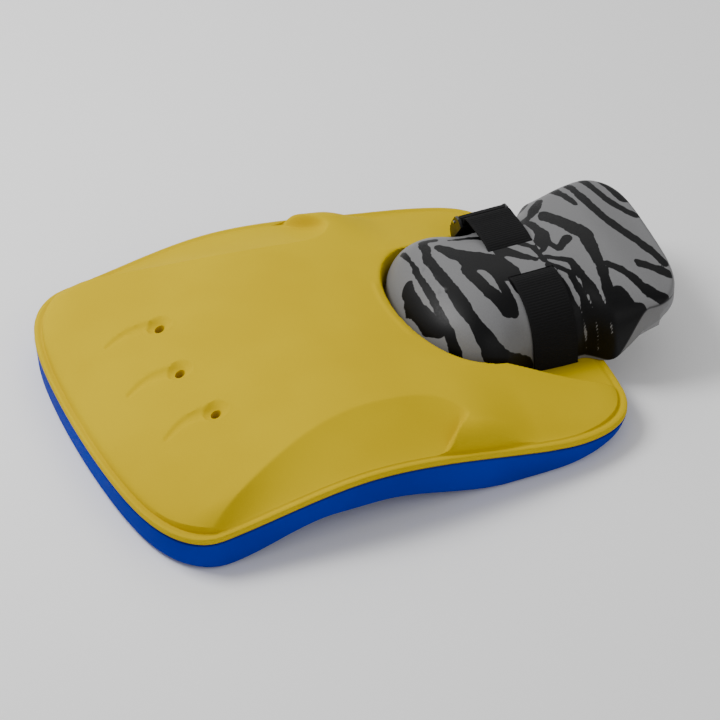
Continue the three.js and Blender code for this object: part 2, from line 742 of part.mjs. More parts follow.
// ---- Assembly -----------------------------------------------------------
const foamYellow = () => material("foam_yellow", 0xecc800, 0.62);
const foamBlue = () => material("foam_blue", 0x0037a8, 0.55);
const pieces = [
  ["deck", makeDeck, foamYellow()],
  ["hull", makeHull, foamBlue()],
  ["bond_film", makeBondFilm, material("adhesive", 0x1b1f24, 0.6)],
  ["hood_shell", makeHoodShell, material("foam_marbled", 0x8f8f8f, 0.45)],
  ["hood_liner", makeHoodLiner, material("foam_grey", 0xa4a4a6, 0.6)],
  ["strap_guide", makeStrapGuide, material("guide_plastic", 0x202022, 0.5)],
  ["strap_tunnel_run", makeStrapTunnel, material("webbing", 0x141416, 0.85)],
  ["strap_long", makeStrapLong, material("webbing", 0x141416, 0.85)],
  ["strap_short", makeStrapShort, material("webbing", 0x141416, 0.85)],
  ["buckle_frame", makeBuckleFrame, material("buckle_plastic", 0x17181a, 0.4)],
  ["buckle_cam", makeBuckleCam, material("buckle_plastic", 0x17181a, 0.4)],
  ["buckle_pin", makeBucklePin, material("steel", 0xc4c7ca, 0.25, 1)],
  ["buckle_spring", makeBuckleSpring, material("steel", 0xc4c7ca, 0.25, 1)],
];

const kneeboard = new THREE.Group();
for (const [name, make, look] of pieces) {
  const mesh = new THREE.Mesh(toGeometry(make()), look);
  mesh.name = name;
  kneeboard.add(mesh);
}

// The origin is the middle of the whole object's footprint, on the ground
const bounds = new THREE.Box3().setFromObject(kneeboard);
const middle = bounds.getCenter(new THREE.Vector3());
kneeboard.position.set(-middle.x, -middle.y, -bounds.min.z);
kneeboard.updateMatrixWorld(true);

export default kneeboard;
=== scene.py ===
"""Kneeboard: an arched foam board with a marbled foam hood held in its well by a strap and a cam buckle.

Shapes are worked out in millimetres from the board's front edge, then placed in the frame in metres.
"""

import math

import bmesh
import bpy
import numpy as np
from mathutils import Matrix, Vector


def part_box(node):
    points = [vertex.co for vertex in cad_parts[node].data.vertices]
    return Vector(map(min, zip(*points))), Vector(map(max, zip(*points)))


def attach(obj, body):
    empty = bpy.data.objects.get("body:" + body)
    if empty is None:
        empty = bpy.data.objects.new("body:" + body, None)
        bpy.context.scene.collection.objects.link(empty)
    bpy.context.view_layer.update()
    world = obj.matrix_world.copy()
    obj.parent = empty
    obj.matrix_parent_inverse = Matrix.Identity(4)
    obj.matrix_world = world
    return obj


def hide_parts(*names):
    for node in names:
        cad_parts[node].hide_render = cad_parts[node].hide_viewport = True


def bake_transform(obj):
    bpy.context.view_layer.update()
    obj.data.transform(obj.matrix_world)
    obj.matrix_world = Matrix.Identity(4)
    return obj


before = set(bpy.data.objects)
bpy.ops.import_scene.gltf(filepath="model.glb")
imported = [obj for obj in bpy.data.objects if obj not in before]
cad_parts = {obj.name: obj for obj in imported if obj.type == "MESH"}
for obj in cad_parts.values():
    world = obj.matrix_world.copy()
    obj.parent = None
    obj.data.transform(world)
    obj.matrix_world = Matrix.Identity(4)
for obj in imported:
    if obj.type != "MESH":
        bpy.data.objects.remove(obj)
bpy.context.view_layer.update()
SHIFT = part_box("deck")[0][0]
MM = 0.001  # metres

# ---- Dimensions shared with the CAD part, in millimetres ------------------
LENGTH, HALF_WIDTH = 540.0, 216.0
FRONT_BOW, FRONT_CORNER, FRONT_SHARPNESS = 20, 50, 6
REAR_BOW, REAR_CORNER, REAR_SHARPNESS = 8, 110, 10
SEAM_FRONT, SEAM_CREST, SEAM_REAR = 33.0, 58.5, 22.0
SEAM_RISE_START, SEAM_CREST_X, SEAM_FALL_END = 30, 232, 510
ARCH_HEIGHT, ARCH_X = 25, (70, 190, 235, 380)
TAIL_KICK, TAIL_KICK_X = 8, (440, 540)
RIM_HEIGHT, CROWN_INSET = 8, 8
CROWN_FRONT, CROWN_MIDDLE, CROWN_REAR = 15.0, 29.0, 13.0
CROWN_X = (0, 130, 420, 540)
CROWN_SIDE_FALL = 0.3
HAUNCH_X, HAUNCH_START, HAUNCH_REACH = (350, 420), 105, 100
ROUND_SIDE, ROUND_FRONT, ROUND_REAR = 22, 45, 26
SCOOP_START, SCOOP_LENGTH, SCOOP_WIDEST = 60, 296, 0.72
SCOOP_INNER, SCOOP_OUTER, SCOOP_HOLLOW = 139.0, 208.0, 1.25
SCOOP_END_X, SCOOP_END_PULL = 349, 34
WELL_NOSE_X, WELL_NOSE_LENGTH = 349.5, 75.5
WELL_HALF_WIDTH, WELL_REAR_HALF_WIDTH, WELL_REAR_X = 107.5, 166, 570
WELL_FLOOR_ABOVE_SEAM = 7
HOLES = [(121.0, 75.0), (113.0, 0.0), (121.0, -75.0)]
HOLE_RADIUS = 5.0
DISH_RADIUS, DISH_DEPTH = 12.5, 4.0
STRAP_X, STRAP_WIDTH, STRAP_THICKNESS = 487.0, 50.0, 2.2
SLOT_Y, CHANNEL_Z = 94.4, 14.0
TUNNEL_Z, TUNNEL_HALF = 103.0, 22.0
BUCKLE_Y, BUCKLE_Z, BUCKLE_PITCH = 86.5, 88.0, math.radians(55)
HOOD_NOSE, HOOD_SHOULDER, HOOD_REAR = 353.0, 425.0, 640.0
HOOD_NOSE_POWER, HOOD_CORNER, HOOD_CORNER_SHARPNESS, HOOD_REAR_SLANT = 2.2, 42, 3.6, 0.09
HOOD_CREST, HOOD_REAR_CREST = 108.5, 97.0
NOSE_HALF, WAIST_HALF, FLAP_HALF = 104.0, 92.0, 113.0
HOOD_WAIST_X, HOOD_FLAP_X, HOOD_SECTION_X = (458, 517), 548, (503, 550)
HOOD_EDGE_LIFT, HOOD_EDGE_LIFT_X = 51, (530, 612)
HOOD_SIDE_POWER, HOOD_CREST_POWER = (0.7, 0.92), (0.72, 0.45)
SHELL_THICKNESS, LINER_THICKNESS, GAP = 9.0, 7.0, 0.3


def smooth(x, a, b):
    t = np.clip((np.asarray(x, float) - a) / (b - a), 0, 1)
    return t * t * (3 - 2 * t)


def lerp(a, b, t):
    return a + (b - a) * t


# ---- Board surfaces ------------------------------------------------------
def front_edge(y):
    s = np.minimum(np.abs(y) / HALF_WIDTH, 1)
    return FRONT_BOW * s**2 + FRONT_CORNER * (1 - np.sqrt(1 - s**FRONT_SHARPNESS))


def rear_edge(y):
    s = np.minimum(np.abs(y) / HALF_WIDTH, 1)
    return LENGTH - REAR_BOW * s**2 - REAR_CORNER * (1 - np.sqrt(1 - s**REAR_SHARPNESS))


def seam(x):
    rise = lerp(SEAM_FRONT, SEAM_CREST, smooth(x, SEAM_RISE_START, SEAM_CREST_X))
    fall = lerp(SEAM_CREST, SEAM_REAR, smooth(x, SEAM_CREST_X, SEAM_FALL_END))
    return np.where(np.asarray(x) < SEAM_CREST_X, rise, fall)


def bottom(x):
    arch = smooth(x, ARCH_X[0], ARCH_X[1]) * (1 - smooth(x, ARCH_X[2], ARCH_X[3]))
    return ARCH_HEIGHT * arch + TAIL_KICK * smooth(x, *TAIL_KICK_X)


def well_floor(x):
    return seam(x) + WELL_FLOOR_ABOVE_SEAM


def rounding(distance, reach):
    t = np.clip(distance / reach, 0, 1)
    return np.sqrt(1 - (1 - t) ** 2)


def plain_deck(x, y):
    side = rounding(HALF_WIDTH - CROWN_INSET - np.abs(y), ROUND_SIDE)
    front = rounding(x - CROWN_INSET - front_edge(y), ROUND_FRONT)
    rear = rounding(rear_edge(y) - CROWN_INSET - x, ROUND_REAR)
    crown = lerp(CROWN_FRONT, CROWN_MIDDLE, smooth(x, CROWN_X[0], CROWN_X[1]))
    crown = lerp(crown, CROWN_REAR, smooth(x, CROWN_X[2], CROWN_X[3]))
    slope = 1 - np.clip((np.abs(y) - HAUNCH_START) / HAUNCH_REACH, 0, 1)
    fall = lerp(1 - CROWN_SIDE_FALL * (y / HALF_WIDTH) ** 2, slope, smooth(x, *HAUNCH_X))
    return seam(x) + RIM_HEIGHT + crown * fall * side * front * rear


def scoop_edge(x):
    t = (np.asarray(x, float) - SCOOP_START) / SCOOP_LENGTH
    inside = (t > 0) & (t < 1)
    tc = np.clip(t, 0, 1)
    rise = np.sin(np.pi / 2 * np.minimum(tc / SCOOP_WIDEST, 1))
    fall = np.sqrt(np.clip(1 - (np.maximum(tc - SCOOP_WIDEST, 0) / (1 - SCOOP_WIDEST)) ** 4, 0, 1))
    return np.where(inside, lerp(SCOOP_OUTER, SCOOP_INNER, rise * fall), SCOOP_OUTER)


def scooped_deck(x, y):
    plain = plain_deck(x, y)
    edge = scoop_edge(x)
    side = np.abs(y)
    rim = seam(x) + RIM_HEIGHT
    reach = np.clip((side - edge) / np.maximum(SCOOP_OUTER - edge, 0.5), 0, 1)
    scoop = rim + (plain_deck(x, edge) - rim) * (1 - reach) ** SCOOP_HOLLOW
    low = np.where((side > edge) & (edge < SCOOP_OUTER - 0.1), np.minimum(plain, scoop), plain)
    end = SCOOP_END_X - SCOOP_END_PULL * smooth(side, 168, 212)
    return lerp(plain, low, smooth(end - x, -5, 7))


def well_outline():
    a = np.linspace(math.pi / 2, 3 * math.pi / 2, 61)
    xs = WELL_NOSE_X + WELL_NOSE_LENGTH * (1 - np.abs(np.cos(a)) ** (2 / HOOD_NOSE_POWER))
    ys = WELL_HALF_WIDTH * np.sin(a)
    xs = np.concatenate([[WELL_REAR_X], xs, [WELL_REAR_X]])
    ys = np.concatenate([[WELL_REAR_HALF_WIDTH], ys, [-WELL_REAR_HALF_WIDTH]])
    return np.stack([xs, ys], 1)


def well_distance(x, y):
    """Distance from the well's edge, positive outside it."""
    line = well_outline()
    a, b = line[:-1], line[1:]
    p = np.stack([x, y], -1)
    best = np.full(x.shape, 1e9)
    for (ax, ay), (bx, by) in zip(a, b):
        d = np.array([bx - ax, by - ay])
        if d @ d < 1e-9:
            continue
        t = np.clip(((p[..., 0] - ax) * d[0] + (p[..., 1] - ay) * d[1]) / (d @ d), 0, 1)
        best = np.minimum(best, np.hypot(p[..., 0] - ax - t * d[0], p[..., 1] - ay - t * d[1]))
    past = x - HOOD_SHOULDER
    ahead = np.abs(np.minimum(past, 0)) / WELL_NOSE_LENGTH
    nose = ahead**HOOD_NOSE_POWER + (y / WELL_HALF_WIDTH) ** 2 < 1
    splay = WELL_REAR_HALF_WIDTH - WELL_HALF_WIDTH
    sides = np.abs(y) < WELL_HALF_WIDTH + splay * past / (WELL_REAR_X - HOOD_SHOULDER)
    inside = np.where(past < 0, nose, sides)
    return np.where(inside, -best, best)


def comma_depth(x, y, hole, tail, bow):
    """Shallow groove that trails forward from a hole's dish and narrows to a point."""
    best = np.zeros(x.shape)
    for t in np.linspace(0, 1, 26):
        cx = lerp(hole[0], tail[0], t)
        cy = lerp(hole[1], tail[1], t) + bow * math.sin(math.pi * t)
        radius = lerp(10.5, 3.0, t**0.7)
        depth = lerp(3.6, 1.8, t)
        d = np.hypot(x - cx, y - cy) / radius
        best = np.maximum(best, depth * np.clip(1 - d * d, 0, 1) ** 0.6)
    return best


def deck_surface(x, y):
    z = scooped_deck(x, y)
    for hx, hy in HOLES:
        dish = np.hypot(x - hx, y - hy) / DISH_RADIUS
        z = z - DISH_DEPTH * np.clip(1 - dish**2, 0, 1) ** 0.7
        lip = np.exp(-(((np.hypot(x - hx, y - hy) - DISH_RADIUS - 1.2) / 1.4) ** 2))
        z = z + 0.35 * lip
        z = z - comma_depth(x, y, (hx - 4, hy), (hx - 55, hy * 1.07), 8)
    d = well_distance(x, y)
    ring = np.exp(-(((d - 8.0) / 2.6) ** 2)) * smooth(54 - np.abs(y), 0, 12) * (x < 400)
    z = z + 1.0 * ring
    edge = np.clip(d / 5, 0, 1)
    z = z - np.where(d < 5, 3.2 * (1 - np.sqrt(1 - (1 - edge) ** 2)), 0)
    floor = np.minimum(well_floor(x), z)
    return lerp(floor, z, smooth(d, -2.2, 0.4))


def plan_point(u, v, inset):
    y = v * HALF_WIDTH
    return lerp(front_edge(y) + inset, rear_edge(y) - inset, u), v * (HALF_WIDTH - inset)


def grid_lines(count, crowding):
    t = np.linspace(0, 1, count + 1)
    return lerp(t, (1 - np.cos(np.pi * t)) / 2, crowding)


def rim_indices(nu, nv):
    front = [(0, j) for j in range(nv)]
    far = [(i, nv) for i in range(nu)]
    rear = [(nu, nv - j) for j in range(nv)]
    near = [(nu - i, 0) for i in range(nu)]
    return front + far + rear + near


def rim_cap(ids, nu, nv, downward):
    """Closes a loop round the board with strips that each lie at one place along it."""
    at = {}
    for vertex, key in zip(ids, rim_indices(nu, nv)):
        at[key] = vertex
    faces = []
    for j in range(nv // 2):
        faces.append((at[(0, j)], at[(0, nv - j)], at[(0, nv - j - 1)], at[(0, j + 1)]))
        faces.append((at[(nu, j)], at[(nu, j + 1)], at[(nu, nv - j - 1)], at[(nu, nv - j)]))
    for i in range(nu):
        faces.append((at[(i, 0)], at[(i, nv)], at[(i + 1, nv)], at[(i + 1, 0)]))
    faces = [tuple(dict.fromkeys(f)) for f in faces]
    return [f if downward else f[::-1] for f in faces if len(f) > 2]


def mesh_object(name, verts, faces, smooth_angle=35):
    mesh = bpy.data.meshes.new(name)
    placed = np.asarray(verts, float) * MM
    placed[:, 0] += SHIFT
    mesh.from_pydata(placed.tolist(), [], [tuple(int(i) for i in f) for f in faces])
    mesh.validate()
    obj = bpy.data.objects.new(name, mesh)
    bpy.context.collection.objects.link(obj)
    shade(obj, smooth_angle)
    return obj


def shade(obj, angle):
    mesh = obj.data
    mesh.polygons.foreach_set("use_smooth", [True] * len(mesh.polygons))
    mesh.set_sharp_from_angle(angle=math.radians(angle))
    mesh.update()


def make_deck():
    nu, nv = 300, 240
    us, vs = grid_lines(nu, 0.12), 2 * grid_lines(nv, 0.45) - 1
    uu, vv = np.meshgrid(us, vs, indexing="ij")
    gx, gy = plan_point(uu, vv, CROWN_INSET)
    gz = deck_surface(gx, gy)
    verts = [np.stack([gx, gy, gz], -1).reshape(-1, 3)]
    index = np.arange((nu + 1) * (nv + 1)).reshape(nu + 1, nv + 1)
    quads = np.stack([index[:-1, :-1], index[1:, :-1], index[1:, 1:], index[:-1, 1:]], -1).reshape(-1, 4)
    faces = quads.tolist()
    rim = rim_indices(nu, nv)
    loops = [[index[i, j] for i, j in rim]]
    count = index.size
    profile = [(7.2, -0.9), (6.0, -1.2), (4.8, -0.8), (3.4, -0.1), (2.0, 0.0), (0.6, -0.6), (0.0, -2.0)]
    levels = [(inset, "rim", drop) for inset, drop in profile] + [(0.0, "seam", 2.0), (0.8, "seam", 0.9)]
    for inset, base, offset in levels:
        ru = np.array([us[i] for i, j in rim])
        rv = np.array([vs[j] for i, j in rim])
        x, y = plan_point(ru, rv, inset)
        rim_z = seam(x) + RIM_HEIGHT
        well = smooth(well_distance(x, y), -2.2, 0.4)
        rim_z = lerp(np.minimum(well_floor(x), rim_z), rim_z, well)
        z = rim_z + offset if base == "rim" else seam(x) + offset
        verts.append(np.stack([x, y, z], -1))
        loops.append(list(range(count, count + len(rim))))
        count += len(rim)
    for upper, lower in zip(loops, loops[1:]):
        for k in range(len(upper)):
            n = (k + 1) % len(upper)
            faces.append((upper[k], upper[n], lower[n], lower[k]))
    faces += rim_cap(loops[-1], nu, nv, True)
    deck = mesh_object("deck_foam", np.concatenate(verts), faces)
    cut(deck, [cylinder(x, y, HOLE_RADIUS, -10, 120) for x, y in HOLES] + slot_boxes(10, 60))
    return deck


def make_hull():
    nu, nv = 150, 150
    us, vs = grid_lines(nu, 0.4), 2 * grid_lines(nv, 0.8) - 1
    rim = rim_indices(nu, nv)
    ru = np.array([us[i] for i, j in rim])
    rv = np.array([vs[j] for i, j in rim])
    verts, loops, count = [], [], 0
    drops = [("top", 0.9, 1.6), ("top", 1.8, 0.5)]
    drops += [("side", f, 0.4 + 1.6 * f) for f in (0.25, 0.5, 0.75, 1.0)]
    drops += [("base", a, 0) for a in np.linspace(0.12, 1.0, 8)]
    radius = 8.0
    for kind, value, inset in drops:
        if kind == "base":
            inset = 2.0 + radius * (1 - math.cos(value * math.pi / 2))
        x, y = plan_point(ru, rv, inset)
        low = bottom(x) + radius
        high = seam(x) - 1.8
        if kind == "top":
            z = seam(x) - value
        elif kind == "side":
            z = lerp(high, low, value)
        else:
            z = low - radius * math.sin(value * math.pi / 2)
        z = np.maximum(np.minimum(z, seam(x) - 0.9), bottom(x))
        verts.append(np.stack([x, y, z], -1))
        loops.append(list(range(count, count + len(rim))))
        count += len(rim)
    faces = []
    for upper, lower in zip(loops, loops[1:]):
        for k in range(len(upper)):
            n = (k + 1) % len(upper)
            faces.append((upper[k], upper[n], lower[n], lower[k]))
    faces += rim_cap(loops[-1], nu, nv, True)
    faces += rim_cap(loops[0], nu, nv, False)
    hull = mesh_object("hull_foam", np.concatenate(verts), faces)
    cutters = [cylinder(x, y, HOLE_RADIUS, -10, 120) for x, y in HOLES]
    reach = SLOT_Y + 1.8
    cutters.append(box_cutter(STRAP_X - 27.5, STRAP_X + 27.5, -reach, reach, CHANNEL_Z - 3.5, 60))
    cut(hull, cutters)
    return hull


# ---- Cutting ---------------------------------------------------------------
def cylinder(x, y, radius, z0, z1, sides=48):
    a = np.linspace(0, 2 * math.pi, sides, endpoint=False)
    ring = np.stack([x + radius * np.cos(a), y + radius * np.sin(a)], 1)
    low = np.column_stack([ring, np.full(sides, z0)])
    high = np.column_stack([ring, np.full(sides, z1)])
    faces = [(k, (k + 1) % sides, sides + (k + 1) % sides, sides + k) for k in range(sides)]
    faces += [tuple(range(sides))[::-1], tuple(range(sides, 2 * sides))]
    return mesh_object("cutter", np.concatenate([low, high]), faces)


def box_cutter(x0, x1, y0, y1, z0, z1):
    verts = [(x, y, z) for x in (x0, x1) for y in (y0, y1) for z in (z0, z1)]
    faces = [(0, 1, 3, 2), (4, 6, 7, 5), (0, 4, 5, 1), (2, 3, 7, 6), (0, 2, 6, 4), (1, 5, 7, 3)]
    return mesh_object("cutter", np.array(verts), faces)


def slot_boxes(z0, z1):
    half = STRAP_WIDTH / 2 + 0.5
    return [box_cutter(STRAP_X - half, STRAP_X + half, y - 1.6, y + 1.6, z0, z1) for y in (-SLOT_Y, SLOT_Y)]


def cut(obj, cutters):
    for cutter in cutters:
        modifier = obj.modifiers.new("cut", "BOOLEAN")
        modifier.operation = "DIFFERENCE"
        modifier.solver = "EXACT"
        modifier.object = cutter
    depsgraph = bpy.context.evaluated_depsgraph_get()
    result = bpy.data.meshes.new_from_object(obj.evaluated_get(depsgraph))
    obj.modifiers.clear()
    obj.data = result
    for cutter in cutters:
        mesh = cutter.data
        bpy.data.objects.remove(cutter)
        bpy.data.meshes.remove(mesh)
    shade(obj, 35)


# ---- Straps ---------------------------------------------------------------
def spline(points, spacing):
    """Centripetal curve through (y, z) points, sampled evenly."""
    p = np.asarray(points, float)
    p = np.vstack([2 * p[0] - p[1], p, 2 * p[-1] - p[-2]])
    out = []
    for k in range(1, len(p) - 2):
        p0, p1, p2, p3 = p[k - 1 : k + 3]
        t0 = 0.0
        t1 = t0 + math.sqrt(np.linalg.norm(p1 - p0))
        t2 = t1 + math.sqrt(np.linalg.norm(p2 - p1))
        t3 = t2 + math.sqrt(np.linalg.norm(p3 - p2))
        for t in np.linspace(t1, t2, 40, endpoint=False):
            a1 = (t1 - t) / (t1 - t0) * p0 + (t - t0) / (t1 - t0) * p1
            a2 = (t2 - t) / (t2 - t1) * p1 + (t - t1) / (t2 - t1) * p2
            a3 = (t3 - t) / (t3 - t2) * p2 + (t - t2) / (t3 - t2) * p3
            b1 = (t2 - t) / (t2 - t0) * a1 + (t - t0) / (t2 - t0) * a2
            b2 = (t3 - t) / (t3 - t1) * a2 + (t - t1) / (t3 - t1) * a3
            out.append((t2 - t) / (t2 - t1) * b1 + (t - t1) / (t2 - t1) * b2)
    out.append(p[-2])
    out = np.array(out)
    run = np.concatenate([[0], np.cumsum(np.linalg.norm(np.diff(out, axis=0), axis=1))])
    even = np.linspace(0, run[-1], max(int(run[-1] / spacing), 2) + 1)
    return np.stack([np.interp(even, run, out[:, 0]), np.interp(even, run, out[:, 1])], 1)


def hood_edge(x):
    return well_floor(x) + 0.5 + HOOD_EDGE_LIFT * smooth(x, *HOOD_EDGE_LIFT_X)


def hood_half(x):
    waist = lerp(NOSE_HALF, WAIST_HALF, smooth(x, HOOD_SHOULDER, HOOD_WAIST_X[0]))
    return lerp(waist, FLAP_HALF, smooth(x, HOOD_WAIST_X[1], HOOD_FLAP_X))


def hood_arch(x, angle, half, rise):
    flat = smooth(x, *HOOD_SECTION_X)
    side = np.abs(np.sin(angle)) ** lerp(*HOOD_SIDE_POWER, flat)
    return half * np.sign(angle) * side, rise * np.cos(angle) ** lerp(*HOOD_CREST_POWER, flat)


def buckle_to_world(u, w):
    s, c = math.sin(BUCKLE_PITCH), math.cos(BUCKLE_PITCH)
    return [BUCKLE_Y + u * c + w * s, BUCKLE_Z - u * s + w * c]


def long_strap_points():
    lift = STRAP_THICKNESS / 2 + 0.8
    edge = float(hood_edge(STRAP_X))
    floor = float(well_floor(STRAP_X))
    wall = []
    for a in (1.46, 1.36, 1.22, 1.05, 0.85, 0.65, 0.46, 0.3):
        y, rise = hood_arch(STRAP_X, -a, WAIST_HALF, HOOD_CREST - edge)
        wall.append([float(y) - lift * math.sin(a), edge + float(rise) + lift * math.cos(a)])
    w = STRAP_THICKNESS / 2 + GAP
    return [
        [-SLOT_Y, floor + 0.2],
        [-SLOT_Y, floor + 4],
        *wall,
        [-TUNNEL_HALF, TUNNEL_Z + 0.6],
        [-TUNNEL_HALF * 0.5, TUNNEL_Z],
        [TUNNEL_HALF * 0.3, TUNNEL_Z],
        [TUNNEL_HALF * 0.6, TUNNEL_Z + 2.5],
        [TUNNEL_HALF + 2, TUNNEL_Z + 7],
        [TUNNEL_HALF + 18, TUNNEL_Z + 9],
        [TUNNEL_HALF + 36, TUNNEL_Z + 9],
        buckle_to_world(-26, w + 1.5),
        buckle_to_world(-14, w),
        buckle_to_world(0, w),
        buckle_to_world(22, w),
        [BUCKLE_Y + 18, BUCKLE_Z - 34],
        [BUCKLE_Y + 17, BUCKLE_Z - 48],
    ]


def channel_points():
    top = float(well_floor(STRAP_X)) - 0.4
    near = [[-SLOT_Y, top], [-SLOT_Y, top - 5], [-SLOT_Y, CHANNEL_Z + 5]]
    near += [[-SLOT_Y + 1.5, CHANNEL_Z + 1.5], [-SLOT_Y + 5, CHANNEL_Z], [-SLOT_Y + 15, CHANNEL_Z]]
    return near + [[-y, z] for y, z in near[::-1]]


def webbing(name, line, pitch=3.0, depth=0.35):
    """Ribbed webbing: fine ribs across its width, with a firmer selvedge along each side."""
    count = len(line)
    tangent = np.gradient(line, axis=0)
    tangent /= np.linalg.norm(tangent, axis=1)[:, None]
    normal = np.stack([-tangent[:, 1], tangent[:, 0]], 1)
    step = np.linalg.norm(np.diff(line, axis=0), axis=1).mean()
    along = np.arange(count) * step
    selvedge_xs = np.array([21.8, 22.6, 23.2, 24.2, 24.8, 25])
    xs = np.concatenate([-selvedge_xs[::-1], np.linspace(-20, 20, 17), selvedge_xs])
    edge = np.clip((25 - np.abs(xs)) / 0.9, 0, 1)
    round_edge = np.sqrt(1 - (1 - edge) ** 2)
    selvedge = np.exp(-(((np.abs(xs) - 22.9) / 0.35) ** 2))
    half = STRAP_THICKNESS / 2
    rows = []
    for side in (1, -1):
        rib = depth * (0.5 - 0.5 * np.cos(2 * math.pi * along / pitch))
        inner = np.clip((22.4 - np.abs(xs)) / 0.5, 0, 1)
        thick = half * np.maximum(round_edge, 0.18)[None, :] - rib[:, None] * inner[None, :]
        thick = thick - 0.25 * selvedge[None, :]
        y = line[:, 0][:, None] + side * normal[:, 0][:, None] * thick
        z = line[:, 1][:, None] + side * normal[:, 1][:, None] * thick
        x = np.broadcast_to(STRAP_X + xs[None, :], y.shape)
        rows.append(np.stack([x, y, z], -1))
    n = len(xs)
    verts = np.concatenate([rows[0].reshape(-1, 3), rows[1].reshape(-1, 3)])
    top = np.arange(count * n).reshape(count, n)
    low = top + count * n
    faces = np.stack([top[:-1, :-1], top[:-1, 1:], top[1:, 1:], top[1:, :-1]], -1).reshape(-1, 4).tolist()
    faces += np.stack([low[:-1, :-1], low[1:, :-1], low[1:, 1:], low[:-1, 1:]], -1).reshape(-1, 4).tolist()
    faces += np.stack([top[:-1, 0], top[1:, 0], low[1:, 0], low[:-1, 0]], -1).tolist()
    faces += np.stack([top[1:, -1], top[:-1, -1], low[:-1, -1], low[1:, -1]], -1).tolist()
    faces += np.stack([top[0, 1:], top[0, :-1], low[0, :-1], low[0, 1:]], -1).tolist()
    faces += np.stack([top[-1, :-1], top[-1, 1:], low[-1, 1:], low[-1, :-1]], -1).tolist()
    obj = mesh_object(name, verts, faces, 60)
    fix_normals(obj)
    return obj


def fix_normals(obj):
    bm = bmesh.new()
    bm.from_mesh(obj.data)
    bmesh.ops.recalc_face_normals(bm, faces=bm.faces)
    bm.to_mesh(obj.data)
    bm.free()


def band_solid(name, line, thickness, width):
    tangent = np.gradient(line, axis=0)
    tangent /= np.linalg.norm(tangent, axis=1)[:, None]
    normal = np.stack([-tangent[:, 1], tangent[:, 0]], 1) * thickness / 2
    outline = np.concatenate([line + normal, (line - normal)[::-1]])
    n = len(outline)
    m = len(line)
    left = np.column_stack([np.full(n, STRAP_X - width / 2), outline])
    right = np.column_stack([np.full(n, STRAP_X + width / 2), outline])
    faces = [(k, (k + 1) % n, n + (k + 1) % n, n + k) for k in range(n)]
    for k in range(m - 1):
        quad = (k, k + 1, n - 2 - k, n - 1 - k)
        faces.append(quad[::-1])
        faces.append(tuple(n + i for i in quad))
    obj = mesh_object(name, np.concatenate([left, right]), faces)
    fix_normals(obj)
    return obj


# ---- Hood -------------------------------------------------------------------
DIMPLES = [(0.33, 394.0, 5.0), (0.02, 393.0, 6.5), (-0.30, 394.0, 5.0)]


def hood_grid(nt, na, inset, dress):
    t = np.linspace(0, 1, nt + 1)[:, None]
    angle = (math.pi * (np.linspace(0, 1, na + 1) - 0.5))[None, :]
    angle = np.clip(angle, -math.pi / 2 + 1e-4, math.pi / 2 - 1e-4)
    sharp = np.abs(np.sin(angle)) ** HOOD_CORNER_SHARPNESS
    corner = HOOD_CORNER * (1 - np.sqrt(1 - sharp * 0.999))
    nose = HOOD_NOSE + inset
    end = HOOD_REAR - corner
    x = lerp(nose, end, t**1.6)
    reach = np.clip((HOOD_SHOULDER - x) / (HOOD_SHOULDER - nose), 0, 1)
    swell = np.sqrt(1 - reach**HOOD_NOSE_POWER)
    lift = smooth(x, *HOOD_EDGE_LIFT_X)
    edge = hood_edge(x) - inset * lift
    half = (hood_half(x) - inset * (1 - lift)) * swell
    crest = lerp(HOOD_CREST, HOOD_REAR_CREST, smooth(x, 575, HOOD_REAR))
    y, rise = hood_arch(x, angle, half, (crest - inset - edge) * swell)
    z = edge + rise
    if dress:
        z = z - 5.0 * (1 - np.sqrt(1 - np.clip((x - end + 6) / 6, 0, 1) ** 2))
        for a, place, size in DIMPLES:
            d = np.hypot((x - place), (np.arctan2(y, z - 40) - a) * 70) / size
            z = z - 1.3 * np.clip(1 - d**2, 0, 1) ** 0.7
            z = z + 0.3 * np.exp(-(((d - 1.15) / 0.18) ** 2))
    x = x + HOOD_REAR_SLANT * y * smooth(x, 560, HOOD_REAR)
    return np.stack(np.broadcast_arrays(x, y, z), -1)


def make_hood(name, inset, thickness, nt, na, dress):
    outer = hood_grid(nt, na, inset, dress)
    inner = hood_grid(nt, na, inset + thickness, False)
    size = (nt + 1) * (na + 1)
    verts = np.concatenate([outer.reshape(-1, 3), inner.reshape(-1, 3)])
    o = np.arange(size).reshape(nt + 1, na + 1)
    o[0, :] = 0
    i = np.arange(size, 2 * size).reshape(nt + 1, na + 1)
    i[0, :] = size
    faces = np.stack([o[:-1, :-1], o[1:, :-1], o[1:, 1:], o[:-1, 1:]], -1).reshape(-1, 4).tolist()
    faces += np.stack([i[:-1, :-1], i[:-1, 1:], i[1:, 1:], i[1:, :-1]], -1).reshape(-1, 4).tolist()
    faces += np.stack([o[:-1, 0], i[:-1, 0], i[1:, 0], o[1:, 0]], -1).tolist()
    faces += np.stack([o[:-1, -1], o[1:, -1], i[1:, -1], i[:-1, -1]], -1).tolist()
    faces += np.stack([o[-1, :-1], i[-1, :-1], i[-1, 1:], o[-1, 1:]], -1).tolist()
    faces = [tuple(dict.fromkeys(f)) for f in faces]
    used = sorted({v for f in faces for v in f})
    lookup = {v: k for k, v in enumerate(used)}
    faces = [tuple(lookup[v] for v in f) for f in faces if len(f) > 2]
    obj = mesh_object(name, verts[used], faces, 40)
    fix_normals(obj)
    return obj


